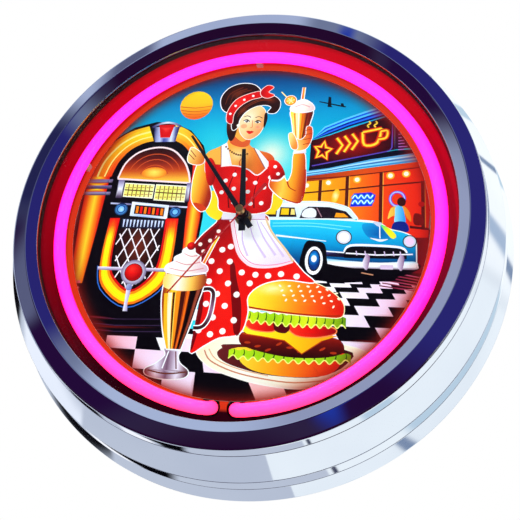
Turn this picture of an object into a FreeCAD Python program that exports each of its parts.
import FreeCAD, Part
import math
import os
import re

import Sketcher
from FreeCAD import Placement, Rotation, Vector

# A round neon-lit wall clock. The dial faces -Y, 12 o'clock points to +Z, and the origin is
# the centre of the wall pad, on the dial axis, where the clock touches the wall.
# Depths are counted from the wall towards the viewer, so a depth d lies at y = -d.

DIMS = [
    # chrome case, radii about the dial axis and depths from the wall
    ("case_radius", 190.0),
    ("rim_gap", 3.0),
    ("rim_width", 13.0),
    ("rim_chamfer", 1.6),
    ("rear_step_radius", 183.8),
    ("rear_step_depth", 18.6),
    ("mid_step_radius", 181.3),
    ("mid_step_depth", 32.7),
    ("front_step_radius", 168.2),
    ("front_step_depth", 53.6),
    ("groove_width", 1.2),
    ("groove_depth", 0.9),
    ("shell_wall", 1.4),
    ("flange_inner_radius", 160.5),
    # chrome bezel
    ("bezel_corner_radius", 166.0),
    ("bezel_corner_depth", 63.0),
    ("ridge_radius", 155.5),
    ("ridge_depth", 65.0),
    ("opening_radius", 148.9),
    ("opening_depth", 60.3),
    ("bezel_wall", 1.5),
    ("corner_fillet", 1.4),
    ("ridge_fillet", 0.9),
    ("opening_fillet", 0.6),
    # glass and gasket
    ("glass_radius", 154.0),
    ("glass_thickness", 2.0),
    ("glass_front_depth", 58.6),
    ("glass_room", 1.0),
    ("gasket_thickness", 4.4),
    ("gasket_width", 4.8),
    ("gasket_gap", 0.4),
    # tray and dial
    ("tray_radius", 149.4),
    ("tray_wall", 1.6),
    ("tray_flange_radius", 166.0),
    ("tray_flange_depth", 52.2),
    ("base_depth", 34.4),
    ("bead_radius", 134.2),
    ("bead_width", 1.8),
    ("bead_height", 1.5),
    ("bead_taper", 0.4),
    ("dial_radius", 132.0),
    ("dial_thickness", 1.0),
    ("shaft_hole_radius", 4.1),
    # neon tube
    ("ring_radius", 139.0),
    ("ring_depth", 43.2),
    ("tube_radius", 4.3),
    ("leg_half_gap", 9.0),
    ("elbow_radius", 8.5),
    ("leg_length", 12.0),
    ("leg_tilt", 15.0),
    ("leg_hole_radius", 7.0),
    ("leg_hole_rise", 3.2),
    ("boot_radius", 6.2),
    ("boot_length", 15.0),
    ("boot_slack", 0.02),
    ("clip_count", 5),
    ("clip_width", 5.0),
    ("post_width", 7.0),
    ("post_gap", 1.2),
    ("lead_radius", 1.3),
    # inverter on the tray's back
    ("inverter_width", 96.0),
    ("inverter_height", 42.0),
    ("inverter_thickness", 18.0),
    ("inverter_drop", 78.0),
    ("inverter_wall", 2.0),
    ("board_margin", 4.0),
    ("board_lift", 6.0),
    ("board_thickness", 1.6),
    ("coil_width", 26.0),
    ("coil_height", 24.0),
    ("coil_offset", 19.0),
    ("lid_screw_radius", 3.0),
    ("lid_screw_height", 1.4),
    ("lid_screw_inset", 6.0),
    # back cover and what it carries
    ("cover_radius", 175.5),
    ("cover_thickness", 1.6),
    ("cover_depth", 7.6),
    ("window_half", 33.0),
    ("standoff_count", 6),
    ("standoff_circle", 138.0),
    ("standoff_radius", 4.5),
    ("screw_head_radius", 3.6),
    ("screw_head_height", 1.5),
    ("screw_radius", 1.6),
    ("screw_reach", 10.0),
    ("seat_overlap", 8.0),
    ("seat_reach", 7.0),
    ("seat_thickness", 1.2),
    ("flange_screw_count", 6),
    ("flange_screw_circle", 163.2),
    ("flange_screw_radius", 2.2),
    ("flange_screw_height", 1.6),
    ("pad_outer_radius", 168.0),
    ("pad_inner_radius", 158.0),
    ("pad_gap", 12.0),
    ("hanger_rise", 108.0),
    ("hanger_width", 44.0),
    ("hanger_height", 34.0),
    ("hanger_thickness", 1.5),
    ("keyhole_radius", 5.0),
    ("keyslot_width", 5.0),
    ("keyslot_length", 12.0),
    ("keyhole_drop", 5.0),
    ("rivet_inset", 4.2),
    ("rivet_radius", 2.4),
    ("rivet_height", 1.0),
    ("nail_room_width", 26.0),
    ("nail_room_height", 28.0),
    ("grommet_drop", 128.0),
    ("grommet_radius", 6.0),
    ("grommet_bore", 2.5),
    ("grommet_lip", 1.5),
    ("grommet_flange", 1.7),
    # quartz movement
    ("movement_half", 28.0),
    ("movement_thickness", 16.0),
    ("movement_wall", 1.6),
    ("works_half", 20.0),
    ("works_low", -7.0),
    ("works_high", 24.0),
    ("works_wall", 2.0),
    ("arbor_room", 3.0),
    ("battery_radius", 7.0),
    ("battery_length", 49.0),
    ("battery_room_half_width", 7.6),
    ("battery_drop", 17.0),
    ("bay_floor", 1.2),
    ("cell_slack", 0.1),
    ("cell_nub_radius", 2.6),
    ("cell_nub_length", 0.9),
    ("contact_thickness", 0.4),
    ("contact_half", 5.0),
    ("contact_back", 13.0),
    ("contact_front", 3.0),
    ("bushing_radius", 4.0),
    ("bushing_bore", 2.75),
    ("bushing_front_depth", 39.4),
    ("washer_radius", 6.2),
    ("washer_thickness", 0.6),
    ("nut_radius", 5.4),
    ("nut_thickness", 2.2),
    ("hour_pipe_radius", 2.7),
    ("hour_pipe_bore", 1.6),
    ("hour_pipe_front", 41.4),
    ("minute_arbor_radius", 1.55),
    ("minute_arbor_bore", 0.6),
    ("minute_arbor_front", 44.4),
    ("second_arbor_radius", 0.55),
    ("second_arbor_front", 47.0),
    ("arbor_back", 22.0),
    ("arbor_step", 2.0),
    ("knob_radius", 6.0),
    ("knob_length", 6.0),
    ("knob_offset", 12.0),
    ("knob_gap", 0.3),
    ("knob_axle_radius", 2.15),
    ("knob_axle_length", 3.0),
    ("knob_hole_radius", 2.2),
    ("flute_count", 12),
    ("flute_radius", 0.7),
    ("flute_stop", 0.8),
    # hands: lengths from the dial axis, with the rest time in degrees clockwise from 12
    ("hand_thickness", 0.5),
    ("boss_thickness", 0.8),
    ("hour_length", 55.5),
    ("hour_tail", 12.5),
    ("hour_width", 5.0),
    ("hour_tip_width", 2.9),
    ("hour_boss_radius", 4.7),
    ("hour_hand_depth", 40.4),
    ("hour_turn", 355.6),
    ("minute_length", 80.5),
    ("minute_tail", 13.5),
    ("minute_width", 4.2),
    ("minute_tip_width", 1.9),
    ("minute_boss_radius", 3.95),
    ("minute_hand_depth", 43.4),
    ("minute_turn", 325.2),
    ("second_length", 78.0),
    ("second_tail", 28.0),
    ("second_width", 0.9),
    ("second_tail_width", 2.6),
    ("second_boss_radius", 2.15),
    ("second_hand_depth", 46.0),
    ("second_turn", 216.0),
    ("cap_radius", 3.0),
    ("cap_length", 5.0),
    ("cap_chamfer", 0.6),
]

PATTERN = re.compile(r"[a-z]+(?:_[a-z]+)+")

doc = FreeCAD.newDocument("NeonClock")
sheet = doc.addObject("Spreadsheet::Sheet", "Dims")
for row, (alias, value) in enumerate(DIMS, start=1):
    sheet.set(f"A{row}", alias)
    sheet.set(f"B{row}", str(value))
    sheet.setAlias(f"B{row}", alias)
doc.recompute()

SUBPARTS = []


def size(alias):
    """The number in the sheet's cell of this name."""
    return float(getattr(sheet, alias))


def bound(text):
    """An expression in which every name of a cell refers to the sheet."""
    return PATTERN.sub(lambda found: "Dims." + found.group(0), text)


def sub_part(thing, name):
    """Names a finished sub-part, which is exported under that name."""
    thing.Label = name
    SUBPARTS.append((name, thing))
    return thing


# ---------------------------------------------------------------- sketches and bodies


def sketch_on(body, role, name):
    """An empty sketch on one of the body's own origin planes."""
    plane = next(f for f in body.Origin.OriginFeatures if f.Role == role)
    sketch = body.newObject("Sketcher::SketchObject", name)
    sketch.AttachmentSupport = (plane, [""])
    sketch.MapMode = "FlatFace"
    return sketch


def pin_down(sketch, geometry, point, across, up, guess):
    """Holds one point of the sketch at a place worked out from the sheet."""
    for kind, text, start in (("DistanceX", across, guess.x), ("DistanceY", up, guess.y)):
        index = sketch.addConstraint(
            Sketcher.Constraint(kind, -1, 1, geometry, point, start)
        )
        sketch.setExpression(f"Constraints[{index}]", bound(text))


def add_outline(sketch, corners):
    """A closed outline of straight lines through corners given as pairs of expressions."""
    count = len(corners)
    first = sketch.GeometryCount
    start = []
    for i in range(count):
        angle = 2 * math.pi * i / count
        start.append(Vector(50 * math.cos(angle), 50 * math.sin(angle), 0))
    for i in range(count):
        sketch.addGeometry(Part.LineSegment(start[i], start[(i + 1) % count]), False)
    for i in range(count):
        after = first + (i + 1) % count
        sketch.addConstraint(Sketcher.Constraint("Coincident", first + i, 2, after, 1))
    for i, (across, up) in enumerate(corners):
        pin_down(sketch, first + i, 1, across, up, start[i])


def add_circle(sketch, across, up, radius):
    """A circle whose centre and radius come from the sheet."""
    index = sketch.addGeometry(Part.Circle(Vector(1, 1, 0), Vector(0, 0, 1), 5), False)
    pin_down(sketch, index, 3, across, up, Vector(1, 1, 0))
    radius_index = sketch.addConstraint(Sketcher.Constraint("Radius", index, 5))
    sketch.setExpression(f"Constraints[{radius_index}]", bound(radius))


def rectangle(left, right, low, high):
    """The corners of an upright rectangle."""
    return [(left, low), (right, low), (right, high), (left, high)]


def turned(name, profile):
    """A body of revolution about the dial axis. The profile's corners are (radius, depth)."""
    body = doc.addObject("PartDesign::Body", name)
    sketch = sketch_on(body, "XY_Plane", name + "_profile")
    add_outline(sketch, [(radius, f"-({depth})") for radius, depth in profile])
    turn = body.newObject("PartDesign::Revolution", name + "_turn")
    turn.Profile = sketch
    turn.ReferenceAxis = (sketch, ["V_Axis"])
    turn.Angle = 360
    doc.recompute()
    return sub_part(body, name)


def plate(name, thickness, back_depth, outlines=(), circles=()):
    """A flat plate parallel to the wall, with its back face at back_depth."""
    body = doc.addObject("PartDesign::Body", name)
    sketch = sketch_on(body, "XZ_Plane", name + "_outline")
    for corners in outlines:
        add_outline(sketch, corners)
    for across, up, radius in circles:
        add_circle(sketch, across, up, radius)
    pad = body.newObject("PartDesign::Pad", name + "_pad")
    pad.Profile = sketch
    pad.setExpression("Length", bound(thickness))
    body.setExpression(".Placement.Base.y", bound(f"-({back_depth})"))
    doc.recompute()
    return sub_part(body, name)


def cut_through(body, name, outlines=(), circles=(), reach="case_radius"):
    """Cuts outlines right through the body along the dial axis, both ways."""
    before = body.Shape.Volume
    sketch = sketch_on(body, "XZ_Plane", name + "_outline")
    for corners in outlines:
        add_outline(sketch, corners)
    for across, up, radius in circles:
        add_circle(sketch, across, up, radius)
    pocket = body.newObject("PartDesign::Pocket", name)
    pocket.Profile = sketch
    pocket.Midplane = True
    pocket.setExpression("Length", bound(reach))
    doc.recompute()
    if body.Shape.Volume > before - 1e-6:
        raise RuntimeError(f"{name} cuts nothing")


def soften(body, name, wanted, amount):
    """Fillets, by a cell of the sheet, the circular edges that wanted(radius, depth) picks."""
    solid = body.Tip
    picked = []
    for index, edge in enumerate(solid.Shape.Edges, start=1):
        if isinstance(edge.Curve, Part.Circle) and wanted(edge.Curve.Radius, -edge.Curve.Center.y):
            picked.append(f"Edge{index}")
    if not picked:
        raise RuntimeError(f"{name} found no edge")
    fillet = body.newObject("PartDesign::Fillet", name)
    fillet.Base = (solid, picked)
    fillet.setExpression("Radius", bound(amount))
    doc.recompute()


def near(radius, depth):
    """A test for soften: the circle of this radius at this depth, both cells of the sheet."""
    return lambda r, d: abs(r - size(radius)) < 0.05 and abs(d - size(depth)) < 0.05


def around(count, start=0.0):
    """Angles in degrees, evenly spread round the dial."""
    return [start + 360.0 * i / count for i in range(int(count))]


def ring_spot(circle, angle):
    """Expressions for the place at this clock angle on a circle about the dial axis."""
    return f"{circle} * sin({angle:.4f})", f"{circle} * cos({angle:.4f})"


# ---------------------------------------------------------------- Part primitives


def primitive(kind, name, sizes, place=("0", "0", "0"), lean=None):
    """A Part primitive with its sizes and its place bound to the sheet."""
    thing = doc.addObject(kind, name)
    if lean:
        thing.Placement.Rotation = Rotation(*lean)
    for prop, text in sizes.items():
        thing.setExpression(prop, bound(text))
    for axis, text in zip("xyz", place):
        thing.setExpression(f".Placement.Base.{axis}", bound(text))
    return thing


def stud(name, radius, back_depth, front_depth, across="0", up="0"):
    """A cylinder along the dial axis, from one depth to another."""
    sizes = {"Radius": radius, "Height": f"({front_depth}) - ({back_depth})"}
    place = (across, f"-({back_depth})", up)
    return primitive("Part::Cylinder", name, sizes, place, (Vector(1, 0, 0), 90))


def tube(name, outer, bore, back_depth, front_depth, across="0", up="0"):
    """A plain tube along the dial axis."""
    outside = stud(name + "_outside", outer, back_depth, front_depth, across, up)
    inside = stud(name + "_inside", bore, f"{back_depth} - 1", f"{front_depth} + 1", across, up)
    return minus(name, outside, inside)


def block(name, low, high):
    """A box between two corners given as (x, depth, z) expressions, the lower depth first."""
    sizes = {
        "Length": f"({high[0]}) - ({low[0]})",
        "Width": f"({high[1]}) - ({low[1]})",
        "Height": f"({high[2]}) - ({low[2]})",
    }
    return primitive("Part::Box", name, sizes, (low[0], f"-({high[1]})", low[2]))


def minus(name, base, tool):
    """The base with the tool taken out of it."""
    cut = doc.addObject("Part::Cut", name)
    cut.Base = base
    cut.Tool = tool
    return cut


def plus(name, things):
    """Several solids joined into one."""
    joined = doc.addObject("Part::MultiFuse", name)
    joined.Shapes = things
    return joined


def group(name, things):
    """Several separate solids that are one sub-part, such as a set of screws."""
    many = doc.addObject("Part::Compound", name)
    many.Links = things
    return sub_part(many, name)


def swept(name, edges, radius):
    """A round bar along a path of lines and arcs."""
    path = Part.Wire(edges)
    start = path.Edges[0].valueAt(path.Edges[0].FirstParameter)
    along = path.Edges[0].tangentAt(path.Edges[0].FirstParameter)
    section = Part.Wire([Part.makeCircle(radius, start, along)])
    solid = path.makePipeShell([section], True, True)
    expected = math.pi * radius**2 * path.Length
    if abs(solid.Volume / expected - 1) > 0.02:
        raise RuntimeError(f"{name} isn't as long as its path")
    bar = doc.addObject("Part::Feature", name)
    bar.Shape = solid
    bar.Placement = Placement()
    return sub_part(bar, name)


def rounded_route(points):
    """Straight runs joined by tangent arcs, each as large as its shorter run allows."""
    edges = []
    here = points[0]
    for before, corner, after in zip(points, points[1:], points[2:]):
        back, on = (before - corner), (after - corner)
        turn = math.pi - back.getAngle(on)
        setback = 0.45 * min(back.Length, on.Length)
        bend = setback / math.tan(turn / 2)
        enter = corner + back.normalize() * setback
        leave = corner + on.normalize() * setback
        inwards = (back + on).normalize()
        middle = corner + inwards * (bend / math.cos(turn / 2) - bend)
        edges.append(Part.LineSegment(here, enter).toShape())
        edges.append(Part.Arc(enter, middle, leave).toShape())
        here = leave
    edges.append(Part.LineSegment(here, points[-1]).toShape())
    return edges


# ---------------------------------------------------------------- chrome case


def grooved(radius, depth):
    """The corners of the shallow groove at a step of the shell, from the rear forwards."""
    return [
        (radius, f"{depth} - groove_width / 2"),
        (f"{radius} - groove_depth", depth),
        (radius, f"{depth} + groove_width / 2"),
    ]


def case_shell():
    outside = [("case_radius", "rim_gap + rim_chamfer"), *grooved("rear_step_radius", "rear_step_depth")]
    outside += grooved("mid_step_radius", "mid_step_depth")
    outside += [("front_step_radius", "front_step_depth")]
    inside = [
        ("flange_inner_radius", "front_step_depth"),
        ("flange_inner_radius", "front_step_depth - shell_wall"),
        ("front_step_radius - shell_wall", "front_step_depth - shell_wall"),
        ("mid_step_radius - groove_depth - shell_wall", "mid_step_depth"),
        ("rear_step_radius - groove_depth - shell_wall", "rear_step_depth"),
        ("case_radius - rim_chamfer - shell_wall", "rim_gap + shell_wall"),
        ("case_radius - rim_width", "rim_gap + shell_wall"),
        ("case_radius - rim_width", "rim_gap"),
        ("case_radius - rim_chamfer", "rim_gap"),
    ]
    turned("case_shell", outside + inside)


def front_bezel():
    outside = [
        ("front_step_radius", "front_step_depth"),
        ("bezel_corner_radius", "bezel_corner_depth"),
        ("ridge_radius", "ridge_depth"),
        ("opening_radius", "opening_depth"),
        ("opening_radius", "glass_front_depth"),
    ]
    inside = [
        ("glass_radius", "glass_front_depth"),
        ("glass_radius", "glass_front_depth + glass_room"),
        ("ridge_radius", "ridge_depth - 1.4 * bezel_wall"),
        ("bezel_corner_radius - 1.25 * bezel_wall", "bezel_corner_depth - bezel_wall"),
        ("front_step_radius - bezel_wall", "front_step_depth"),
    ]
    bezel = turned("front_bezel", outside + inside)
    soften(bezel, "corner_round", near("bezel_corner_radius", "bezel_corner_depth"), "corner_fillet")
    soften(bezel, "ridge_round", near("ridge_radius", "ridge_depth"), "ridge_fillet")
    soften(bezel, "opening_round", near("opening_radius", "opening_depth"), "opening_fillet")


def glass_and_gasket():
    back = "glass_front_depth - glass_thickness"
    plate("front_glass", "glass_thickness", back, circles=[("0", "0", "glass_radius")])
    inner, outer = "tray_radius + gasket_gap", "tray_radius + gasket_gap + gasket_width"
    turned(
        "glass_gasket",
        rectangle(inner, outer, f"{back} - gasket_thickness", back),
    )


# ---------------------------------------------------------------- tray, dial and neon tube


def leg_frame(side):
    """The elbow of one tube leg, and the way the leg runs: side is -1 left, +1 right."""
    tilt = math.radians(size("leg_tilt"))
    reach = size("ring_radius")
    elbow = size("elbow_radius")
    start_x = side * (size("leg_half_gap") + elbow)
    start = Vector(start_x, -size("ring_depth"), -math.sqrt(reach**2 - start_x**2))
    along = Vector(-side * abs(start.z), 0, -abs(start.x)).normalize()
    inwards = Vector(0, math.cos(tilt), math.sin(tilt))
    away = (inwards - along * inwards.dot(along)).normalize()
    centre = start + away * elbow
    middle = centre + (along - away).normalize() * elbow
    return start, middle, centre + along * elbow, away


def neon_tube():
    """A ring of glass tube whose two ends turn back through the tray at 6 o'clock."""
    left_start, left_middle, left_end, left_away = leg_frame(-1)
    right_start, right_middle, right_end, right_away = leg_frame(1)
    top = Vector(0, -size("ring_depth"), size("ring_radius"))
    left_tip = left_end + left_away * size("leg_length")
    right_tip = right_end + right_away * size("leg_length")
    edges = [
        Part.LineSegment(left_tip, left_end).toShape(),
        Part.Arc(left_end, left_middle, left_start).toShape(),
        Part.Arc(left_start, top, right_start).toShape(),
        Part.Arc(right_start, right_middle, right_end).toShape(),
        Part.LineSegment(right_end, right_tip).toShape(),
    ]
    swept("neon_tube", edges, size("tube_radius"))
    return {"left": (left_tip, left_away), "right": (right_tip, right_away)}


def inner_tray():
    """The black tray: a deep wall, a flat base with a bead round the dial, and a flange."""
    base_back = "base_depth - tray_wall"
    bead_in, bead_out = "bead_radius - bead_width / 2", "bead_radius + bead_width / 2"
    profile = [
        ("shaft_hole_radius", base_back),
        ("tray_radius + tray_wall", base_back),
        ("tray_radius + tray_wall", "tray_flange_depth - tray_wall"),
        ("tray_flange_radius", "tray_flange_depth - tray_wall"),
        ("tray_flange_radius", "tray_flange_depth"),
        ("tray_radius", "tray_flange_depth"),
        ("tray_radius", "base_depth"),
        (bead_out, "base_depth"),
        (f"{bead_out} - bead_taper", "base_depth + bead_height"),
        (f"{bead_in} + bead_taper", "base_depth + bead_height"),
        (bead_in, "base_depth"),
        ("shaft_hole_radius", "base_depth"),
    ]
    tray = turned("inner_tray", profile)
    drop = "-(ring_radius - leg_hole_rise)"
    legs = [(f"{side} * leg_half_gap", drop, "leg_hole_radius") for side in (-1, 1)]
    cut_through(tray, "leg_holes", circles=legs)


def dial_board():
    holes = [("0", "0", "dial_radius"), ("0", "0", "shaft_hole_radius")]
    plate("dial_board", "dial_thickness", "base_depth", circles=holes)


def leaning_bar(name, radius, length, foot, along):
    """A cylinder from a point in any direction, with its sizes bound to the sheet."""
    bar = doc.addObject("Part::Cylinder", name)
    bar.setExpression("Radius", bound(radius))
    bar.setExpression("Height", bound(length))
    bar.Placement = Placement(foot, Rotation(Vector(0, 0, 1), along))
    return bar


def tube_boots(tube_ends):
    """Rubber boots that cover the last stretch of each leg and its electrode."""
    for side, (tip, away) in tube_ends.items():
        name = "tube_boot_" + side
        foot = tip - away * (size("boot_length") / 2)
        outside = leaning_bar(name + "_outside", "boot_radius", "boot_length", foot, away)
        bore = leaning_bar(
            name + "_bore", "tube_radius + boot_slack", "boot_length / 2 + 1", foot - away, away
        )
        sub_part(minus(name, outside, bore), name)


def tube_clips():
    """Clear posts that carry the ring, each with a round seat for the tube."""
    seat = doc.addObject("Part::Torus", "seat_ring")
    seat.Placement = Placement(Vector(0, 0, 0), Rotation(Vector(1, 0, 0), 90))
    seat.setExpression("Radius1", bound("ring_radius"))
    seat.setExpression("Radius2", bound("tube_radius"))
    seat.setExpression(".Placement.Base.y", bound("-ring_depth"))
    posts = []
    for number, angle in enumerate(around(size("clip_count"))):
        post = doc.addObject("Part::Box", f"post_{number}")
        post.setExpression("Length", bound("clip_width"))
        post.setExpression("Width", bound("ring_depth - base_depth - post_gap"))
        post.setExpression("Height", bound("post_width"))
        turn = Rotation(Vector(0, 1, 0), angle)
        inner = size("ring_radius") - size("post_width") / 2
        corner = turn.multVec(Vector(-size("clip_width") / 2, 0, inner))
        corner.y = size("post_gap") - size("ring_depth")
        post.Placement = Placement(corner, turn)
        posts.append(minus(f"seat_{number}", post, seat))
    group("tube_clips", posts)


def high_voltage_leads(tube_ends):
    """Leads from the boots to the sides of the inverter, lying behind the tray."""
    half = size("inverter_width") / 2
    port_depth = size("base_depth") - size("tray_wall") - size("inverter_thickness") / 2
    for side, sign in (("left", -1), ("right", 1)):
        tip, away = tube_ends[side]
        start = tip + away * (size("boot_length") / 2)
        port = Vector(sign * half, -port_depth, -size("inverter_drop"))
        points = [
            start,
            start + away * 4,
            start + away * 4 + Vector(sign * 12, 0, 6),
            port + Vector(sign * 26, 0, -16),
            port + Vector(sign * 14, 0, 0),
            port,
        ]
        swept("lead_" + side, rounded_route(points), size("lead_radius"))


# ---------------------------------------------------------------- inverter


def inverter():
    """A two-part plastic box that feeds the tube, screwed to the back of the tray."""
    front = "base_depth - tray_wall"
    back = f"{front} - inverter_thickness"
    half, drop, tall = "inverter_width / 2", "inverter_drop", "inverter_height / 2"
    wall, margin = "inverter_wall", "board_margin"
    shell = block(
        "inverter_shell",
        (f"-({half})", f"{back} + inverter_wall", f"-{drop} - {tall}"),
        (half, front, f"-{drop} + {tall}"),
    )
    hollow = block(
        "inverter_hollow",
        (f"-({half}) + {wall}", f"{back} + {wall} - 1", f"-{drop} - {tall} + {wall}"),
        (f"{half} - {wall}", f"{front} - {wall}", f"-{drop} + {tall} - {wall}"),
    )
    sub_part(minus("inverter_tub", shell, hollow), "inverter_case")
    lid = block(
        "inverter_cover",
        (f"-({half})", back, f"-{drop} - {tall}"),
        (half, f"{back} + inverter_wall", f"-{drop} + {tall}"),
    )
    sub_part(lid, "inverter_lid")
    board = block(
        "inverter_panel",
        (f"-({half}) + {margin}", f"{back} + board_lift", f"-{drop} - {tall} + {margin}"),
        (f"{half} - {margin}", f"{back} + board_lift + board_thickness", f"-{drop} + {tall} - {margin}"),
    )
    coil = block(
        "inverter_coil",
        (
            "-coil_offset - coil_width / 2",
            f"{back} + board_lift + board_thickness",
            f"-{drop} - coil_height / 2",
        ),
        ("-coil_offset + coil_width / 2", f"{front} - inverter_wall", f"-{drop} + coil_height / 2"),
    )
    sub_part(plus("inverter_inside", [board, coil]), "inverter_board")
    heads = []
    for number, (left, low) in enumerate([(-1, -1), (1, -1), (1, 1), (-1, 1)]):
        across = f"{left} * ({half} - lid_screw_inset)"
        up = f"-{drop} + {low} * ({tall} - lid_screw_inset)"
        top = f"{back} - lid_screw_height"
        heads.append(stud(f"lid_screw_{number}", "lid_screw_radius", top, back, across, up))
    group("inverter_screws", heads)


# ---------------------------------------------------------------- back of the clock


def back_cover():
    """The black rear cover with the movement window, the hook opening and the lead hole."""
    half = "window_half"
    outlines = [
        rectangle(f"-{half}", half, f"-{half}", half),
        rectangle(
            "-nail_room_width / 2",
            "nail_room_width / 2",
            "hanger_rise - nail_room_height / 2",
            "hanger_rise + nail_room_height / 2",
        ),
    ]
    lead_hole = ("0", "-grommet_drop", "grommet_radius - grommet_lip")
    circles = [("0", "0", "cover_radius"), lead_hole]
    for angle in around(size("standoff_count"), 30):
        circles.append((*ring_spot("standoff_circle", angle), "screw_radius"))
    back = "cover_depth - cover_thickness"
    plate("back_cover", "cover_thickness", back, outlines, circles)


def standoffs_and_screws():
    """Pillars between the tray and the cover, and the screws that hold the cover on."""
    pillars, screws = [], []
    front = "base_depth - tray_wall"
    for number, angle in enumerate(around(size("standoff_count"), 30)):
        spot = ring_spot("standoff_circle", angle)
        pillars.append(
            tube(f"pillar_{number}", "standoff_radius", "screw_radius", "cover_depth", front, *spot)
        )
        outer = "cover_depth - cover_thickness"
        head = stud(
            f"head_{number}", "screw_head_radius", f"{outer} - screw_head_height", outer, *spot
        )
        shank = stud(f"shank_{number}", "screw_radius", outer, "cover_depth + screw_reach", *spot)
        screws.append(plus(f"screw_{number}", [head, shank]))
    group("standoffs", pillars)
    group("cover_screws", screws)


def cover_seat():
    """A steel ring that carries the cover's edge, spotted to the inside of the shell's rim."""
    turned(
        "cover_seat",
        rectangle(
            "cover_radius - seat_overlap",
            "cover_radius + seat_reach",
            "cover_depth",
            "cover_depth + seat_thickness",
        ),
    )


def tray_screws():
    """Screws that hold the tray's flange to the shell's front flange."""
    screws = []
    flange = "tray_flange_depth - tray_wall"
    back = f"{flange} - flange_screw_height"
    for number, angle in enumerate(around(size("flange_screw_count"))):
        spot = ring_spot("flange_screw_circle", angle)
        screws.append(stud(f"flange_screw_{number}", "flange_screw_radius", back, flange, *spot))
    group("tray_screws", screws)


def wall_pad():
    """A rubber ring that keeps the rim off the wall, with a gap at 6 o'clock for a lead."""
    outline = rectangle("pad_inner_radius", "pad_outer_radius", "0", "cover_depth - cover_thickness")
    pad = turned("wall_pad", outline)
    gap = rectangle("-pad_gap / 2", "pad_gap / 2", "-case_radius", "-pad_inner_radius + pad_gap")
    cut_through(pad, "lead_gap", outlines=[gap])


def hanger():
    """A steel plate with a keyhole over the cover's hook opening, held by two rivets."""
    back = "cover_depth - cover_thickness - hanger_thickness"
    wide, tall, slot = "hanger_width / 2", "hanger_height / 2", "keyslot_width / 2"
    body = plate(
        "hanger_plate",
        "hanger_thickness",
        back,
        [rectangle(f"-{wide}", wide, f"hanger_rise - {tall}", f"hanger_rise + {tall}")],
    )
    hole_up = "hanger_rise - keyhole_drop"
    cut_through(body, "keyhole_entry", circles=[("0", hole_up, "keyhole_radius")])
    slot_top = f"{hole_up} + keyslot_length"
    cut_through(body, "keyhole_slot", [rectangle(f"-{slot}", slot, hole_up, slot_top)])
    cut_through(body, "keyhole_end", circles=[("0", slot_top, slot)])
    rivets = []
    for side in (-1, 1):
        across = f"{side} * (hanger_width / 2 - rivet_inset)"
        top = f"{back} - rivet_height"
        rivets.append(stud(f"rivet_{side + 1}", "rivet_radius", top, back, across, "hanger_rise"))
    group("hanger_rivets", rivets)


def cord_grommet():
    """The rubber bush where a supply lead enters the back cover."""
    inner = "cover_depth - cover_thickness"
    profile = [
        ("grommet_bore", f"{inner} - grommet_flange"),
        ("grommet_radius", f"{inner} - grommet_flange"),
        ("grommet_radius", inner),
        ("grommet_radius - grommet_lip", inner),
        ("grommet_radius - grommet_lip", "cover_depth"),
        ("grommet_radius", "cover_depth"),
        ("grommet_radius", "cover_depth + grommet_flange"),
        ("grommet_bore", "cover_depth + grommet_flange"),
    ]
    bush = turned("cord_grommet", profile)
    bush.setExpression(".Placement.Base.z", bound("-grommet_drop"))


# ---------------------------------------------------------------- quartz movement


def movement():
    """The movement's box with its open battery bay, the cell and its two contacts."""
    front = "base_depth - tray_wall"
    back = f"{front} - movement_thickness"
    half = "movement_half"
    box = block("movement_box", (f"-{half}", back, f"-{half}"), (half, front, half))
    room = "battery_room_half_width"
    bay = block(
        "battery_bay",
        ("-movement_half + movement_wall", f"{back} - 1", f"-battery_drop - {room}"),
        ("movement_half - movement_wall", f"{front} - bay_floor", f"-battery_drop + {room}"),
    )
    works = block(
        "works_room",
        ("-works_half", f"{back} + works_wall", "works_low"),
        ("works_half", f"{front} - works_wall", "works_high"),
    )
    centre = stud("arbor_room", "bushing_bore", f"{front} - arbor_room", f"{front} + 1")
    inside = f"{back} + knob_axle_length"
    corner = ("knob_offset", "knob_offset")
    knob_hole = stud("knob_hole", "knob_hole_radius", f"{back} - 1", inside, *corner)
    rooms = plus("movement_rooms", [bay, works, centre, knob_hole])
    sub_part(minus("movement_body", box, rooms), "movement_case")
    middle = f"-({front} - bay_floor - battery_radius - cell_slack)"
    cell = primitive(
        "Part::Cylinder",
        "cell",
        {"Radius": "battery_radius", "Height": "battery_length"},
        ("-battery_length / 2", middle, "-battery_drop"),
        (Vector(0, 1, 0), 90),
    )
    nub = primitive(
        "Part::Cylinder",
        "cell_nub",
        {"Radius": "cell_nub_radius", "Height": "cell_nub_length"},
        ("battery_length / 2", middle, "-battery_drop"),
        (Vector(0, 1, 0), 90),
    )
    sub_part(plus("battery", [cell, nub]), "battery_cell")
    contacts = []
    for side in (-1, 1):
        middle_x = f"{side} * (movement_half - movement_wall - contact_thickness / 2)"
        contacts.append(
            block(
                f"contact_{side + 1}",
                (
                    f"{middle_x} - contact_thickness / 2",
                    f"{front} - contact_back",
                    "-battery_drop - contact_half",
                ),
                (
                    f"{middle_x} + contact_thickness / 2",
                    f"{front} - contact_front",
                    "-battery_drop + contact_half",
                ),
            )
        )
    group("battery_contacts", contacts)


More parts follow.
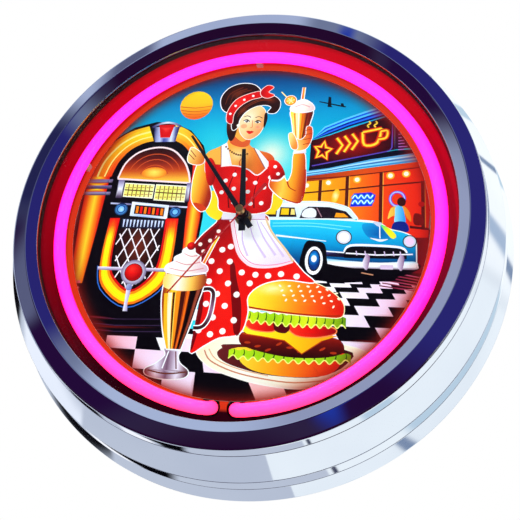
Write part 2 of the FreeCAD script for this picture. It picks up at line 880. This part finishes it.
def shaft_stack():
    """The threaded bushing, its washers and nut, and the three nested arbors."""
    front = "base_depth - tray_wall"
    tube_part = tube("bushing", "bushing_radius", "bushing_bore", front, "bushing_front_depth")
    sub_part(tube_part, "movement_bushing")
    dial_front = "base_depth + dial_thickness"
    washer_front = f"{dial_front} + washer_thickness"
    washer = tube("washer", "washer_radius", "shaft_hole_radius", dial_front, washer_front)
    sub_part(washer, "dial_washer")
    nut = doc.addObject("Part::Prism", "nut_hexagon")
    nut.Polygon = 6
    nut.Placement.Rotation = Rotation(Vector(1, 0, 0), 90)
    nut.setExpression("Circumradius", bound("nut_radius"))
    nut.setExpression("Height", bound("nut_thickness"))
    nut.setExpression(".Placement.Base.y", bound(f"-({washer_front})"))
    nut_hole = stud("nut_hole", "bushing_radius", f"{washer_front} - 1", "bushing_front_depth")
    sub_part(minus("nut_cut", nut, nut_hole), "dial_nut")
    pipe_back = "arbor_back + 2 * arbor_step"
    pipe = tube("pipe", "hour_pipe_radius", "hour_pipe_bore", pipe_back, "hour_pipe_front")
    sub_part(pipe, "hour_pipe")
    minute_back = "arbor_back + arbor_step"
    minute_sizes = ("minute_arbor_radius", "minute_arbor_bore")
    arbor = tube("arbor", *minute_sizes, minute_back, "minute_arbor_front")
    sub_part(arbor, "minute_arbor")
    sub_part(stud("pin", "second_arbor_radius", "arbor_back", "second_arbor_front"), "second_arbor")


def hand(name, tip, tail, root_width, tip_width, tail_width, depth, turn, boss, bore):
    """A flat hand on a round boss, drawn pointing at 12 and turned to the rest time."""
    half_root, half_tip, half_tail = (f"{w} / 2" for w in (root_width, tip_width, tail_width))
    body = doc.addObject("PartDesign::Body", name)
    sketch = sketch_on(body, "XZ_Plane", name + "_outline")
    blade = [
        (f"-{half_tail}", f"-{tail}"),
        (half_tail, f"-{tail}"),
        (half_root, "0"),
        (half_tip, tip),
        (f"-{half_tip}", tip),
        (f"-({half_root})", "0"),
    ]
    add_outline(sketch, blade)
    pad = body.newObject("PartDesign::Pad", name + "_blade")
    pad.Profile = sketch
    pad.setExpression("Length", bound("hand_thickness"))
    disc = sketch_on(body, "XZ_Plane", name + "_boss_outline")
    add_circle(disc, "0", "0", boss)
    boss_pad = body.newObject("PartDesign::Pad", name + "_boss")
    boss_pad.Profile = disc
    boss_pad.setExpression("Length", bound("boss_thickness"))
    doc.recompute()
    cut_through(body, name + "_bore", circles=[("0", "0", bore)])
    body.Placement.Rotation = Rotation(Vector(0, 1, 0), 10)
    body.setExpression(".Placement.Rotation.Angle", bound(turn))
    body.setExpression(".Placement.Base.y", bound(f"-({depth})"))
    doc.recompute()
    sub_part(body, name)


def hands():
    hand("hour_hand", "hour_length", "hour_tail", "hour_width", "hour_tip_width", "hour_width",
         "hour_hand_depth", "hour_turn", "hour_boss_radius", "hour_pipe_radius")
    hand("minute_hand", "minute_length", "minute_tail", "minute_width", "minute_tip_width",
         "minute_width", "minute_hand_depth", "minute_turn", "minute_boss_radius",
         "minute_arbor_radius")
    hand("second_hand", "second_length", "second_tail", "second_width", "second_width",
         "second_tail_width", "second_hand_depth", "second_turn", "second_boss_radius",
         "second_arbor_radius")


def second_cap():
    """The small turned cap pressed on the end of the second arbor."""
    back = "second_arbor_front"
    profile = [
        ("0", back),
        ("cap_radius", back),
        ("cap_radius", f"{back} + cap_length - cap_chamfer"),
        ("cap_radius - cap_chamfer", f"{back} + cap_length"),
        ("0", f"{back} + cap_length"),
    ]
    turned("second_cap", profile)


def set_knob():
    """The rear thumbwheel that sets the minute and hour hands."""
    case_back = "base_depth - tray_wall - movement_thickness"
    face, rim = f"{case_back} - knob_length", f"{case_back} - knob_gap"
    corner = ("knob_offset", "knob_offset")
    wheel = stud("wheel", "knob_radius", face, rim, *corner)
    axle = stud("axle", "knob_axle_radius", rim, f"{case_back} + knob_axle_length", *corner)
    grip = []
    for number, angle in enumerate(around(size("flute_count"))):
        across = f"knob_offset + knob_radius * sin({angle:.1f})"
        up = f"knob_offset + knob_radius * cos({angle:.1f})"
        stop = f"{case_back} - flute_stop"
        grip.append(stud(f"flute_{number}", "flute_radius", f"{face} - 1", stop, across, up))
    fluted = minus("fluted_wheel", wheel, plus("flutes", grip))
    sub_part(plus("knob", [fluted, axle]), "set_knob")


# ---------------------------------------------------------------- build, check and write


def check_everything():
    """Every object has to be sound, and every sub-part a valid solid."""
    for thing in doc.Objects:
        if {"Invalid", "Error"} & set(thing.State):
            raise RuntimeError(f"{thing.Label} is {thing.State}")
    for name, thing in SUBPARTS:
        if thing.Shape.isNull() or not thing.Shape.isValid() or not thing.Shape.Solids:
            raise RuntimeError(f"{name} has no valid shape")


def main():
    case_shell()
    front_bezel()
    glass_and_gasket()
    inner_tray()
    dial_board()
    tube_ends = neon_tube()
    tube_boots(tube_ends)
    tube_clips()
    high_voltage_leads(tube_ends)
    inverter()
    back_cover()
    standoffs_and_screws()
    cover_seat()
    tray_screws()
    wall_pad()
    hanger()
    cord_grommet()
    movement()
    shaft_stack()
    hands()
    second_cap()
    set_knob()
    doc.recompute()
    check_everything()
    os.makedirs("parts", exist_ok=True)
    for name, thing in SUBPARTS:
        thing.Shape.exportStep(f"parts/{name}.step")
        print(f"{name}: {len(thing.Shape.Solids)} solids, {thing.Shape.Volume / 1000:.2f} cm3")


main()
